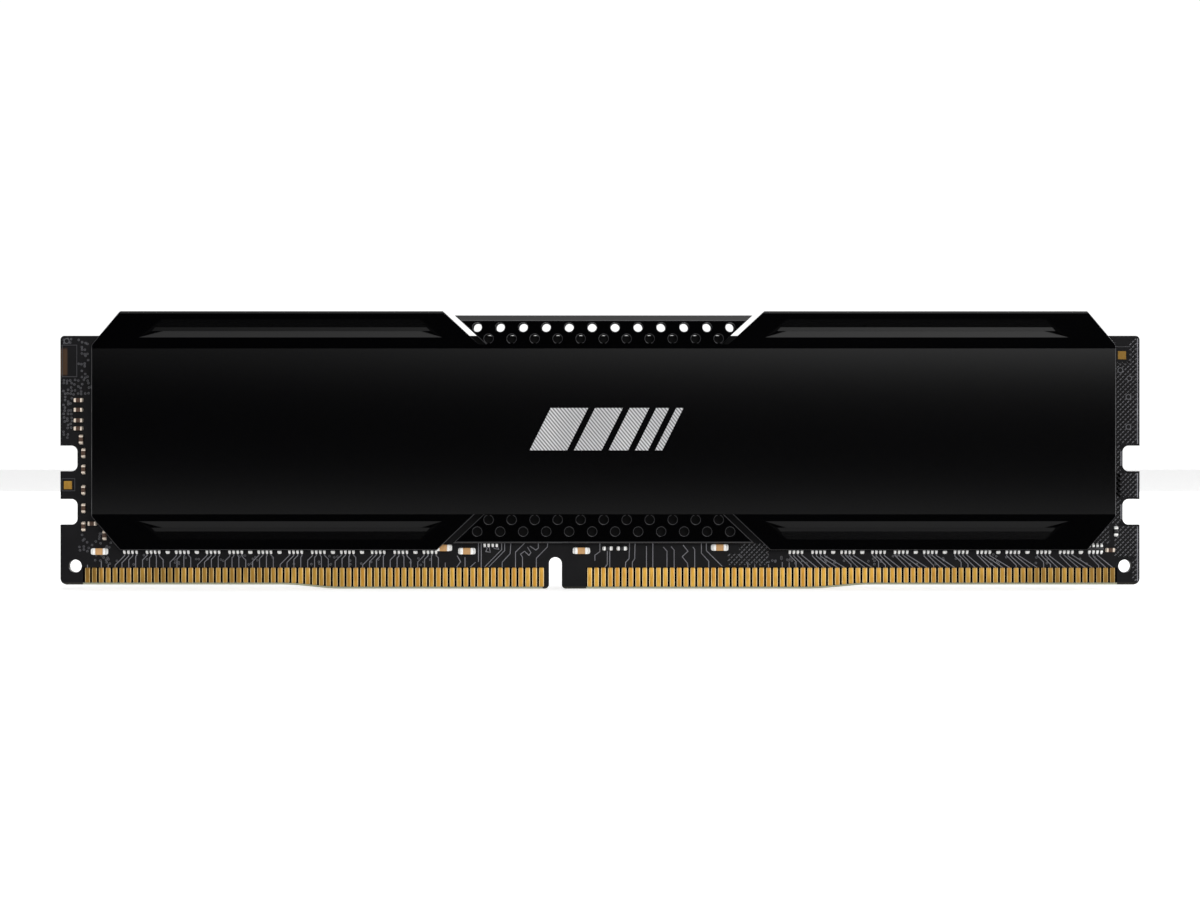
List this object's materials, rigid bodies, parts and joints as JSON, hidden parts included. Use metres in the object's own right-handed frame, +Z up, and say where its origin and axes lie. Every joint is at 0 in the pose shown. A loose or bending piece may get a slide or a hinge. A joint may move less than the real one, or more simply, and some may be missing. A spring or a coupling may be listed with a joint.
{
  "type": "memory module",
  "caption": "Desktop memory module: circuit board with a gold edge connector, memory chips and a black finned-edge heat spreader half on each face.",
  "frame": {"origin": "middle of the contact edge, on the board's mid-plane", "axes": "+X along the board, with the longer contact bank of the front face at +X; +Y from the front face to the rear face; +Z up from the contact edge to the top"},
  "size_m": [0.1334, 0.0078, 0.0342],
  "materials": {
    "board_laminate": "glass-fibre laminate under satin black solder mask, with faint copper traces",
    "gold_contacts": "hard gold plating, lightly wiped by sockets",
    "black_anodised": "pressed sheet, black anodised, satin",
    "mould_compound": "black epoxy moulding compound, fine matt",
    "chip_substrate": "dark green laminate",
    "solder": "bright tin solder",
    "thermal_tape": "soft grey heat-conducting tape",
    "silver_foil": "silver foil with a fine slanting hatch",
    "label_film": "plain satin label",
    "resistor_ceramic": "black glazed film over ceramic",
    "capacitor_ceramic": "tan ceramic",
    "tin_caps": "tinned end caps with solder"
  },
  "bodies": {
    "root": {"circuit_board": "board_laminate", "front_bulk_capacitor_bodies": "capacitor_ceramic", "front_bulk_capacitor_caps": "tin_caps", "front_chip_substrates": "chip_substrate", "front_contacts_left_bank": "gold_contacts", "front_contacts_right_bank": "gold_contacts", "front_decoupling_capacitor_bodies": "capacitor_ceramic", "front_decoupling_capacitor_caps": "tin_caps", "front_edge_capacitor_bodies": "capacitor_ceramic", "front_edge_capacitor_caps": "tin_caps", "front_emblem": "silver_foil", "front_fiducial_pads": "gold_contacts", "front_heat_spreader": "black_anodised", "front_memory_chip_1": "mould_compound", "front_memory_chip_2": "mould_compound", "front_memory_chip_3": "mould_compound", "front_memory_chip_4": "mould_compound", "front_memory_chip_5": "mould_compound", "front_memory_chip_6": "mould_compound", "front_memory_chip_7": "mould_compound", "front_memory_chip_8": "mould_compound", "front_resistor_array_bodies": "resistor_ceramic", "front_resistor_array_pads": "tin_caps", "front_single_resistor_bodies": "resistor_ceramic", "front_single_resistor_caps": "tin_caps", "front_solder_balls": "solder", "front_thermal_tape": "thermal_tape", "rear_bulk_capacitor_bodies": "capacitor_ceramic", "rear_bulk_capacitor_caps": "tin_caps", "rear_chip_substrates": "chip_substrate", "rear_contacts_left_bank": "gold_contacts", "rear_contacts_right_bank": "gold_contacts", "rear_decoupling_capacitor_bodies": "capacitor_ceramic", "rear_decoupling_capacitor_caps": "tin_caps", "rear_emblem": "silver_foil", "rear_fiducial_pads": "gold_contacts", "rear_heat_spreader": "black_anodised", "rear_label": "label_film", "rear_memory_chip_1": "mould_compound", "rear_memory_chip_2": "mould_compound", "rear_memory_chip_3": "mould_compound", "rear_memory_chip_4": "mould_compound", "rear_memory_chip_5": "mould_compound", "rear_memory_chip_6": "mould_compound", "rear_memory_chip_7": "mould_compound", "rear_memory_chip_8": "mould_compound", "rear_resistor_array_bodies": "resistor_ceramic", "rear_resistor_array_pads": "tin_caps", "rear_single_resistor_bodies": "resistor_ceramic", "rear_single_resistor_caps": "tin_caps", "rear_solder_balls": "solder", "rear_spd_memory": "mould_compound", "rear_spd_pads": "tin_caps", "rear_thermal_tape": "thermal_tape"}
  },
  "joints": []
}
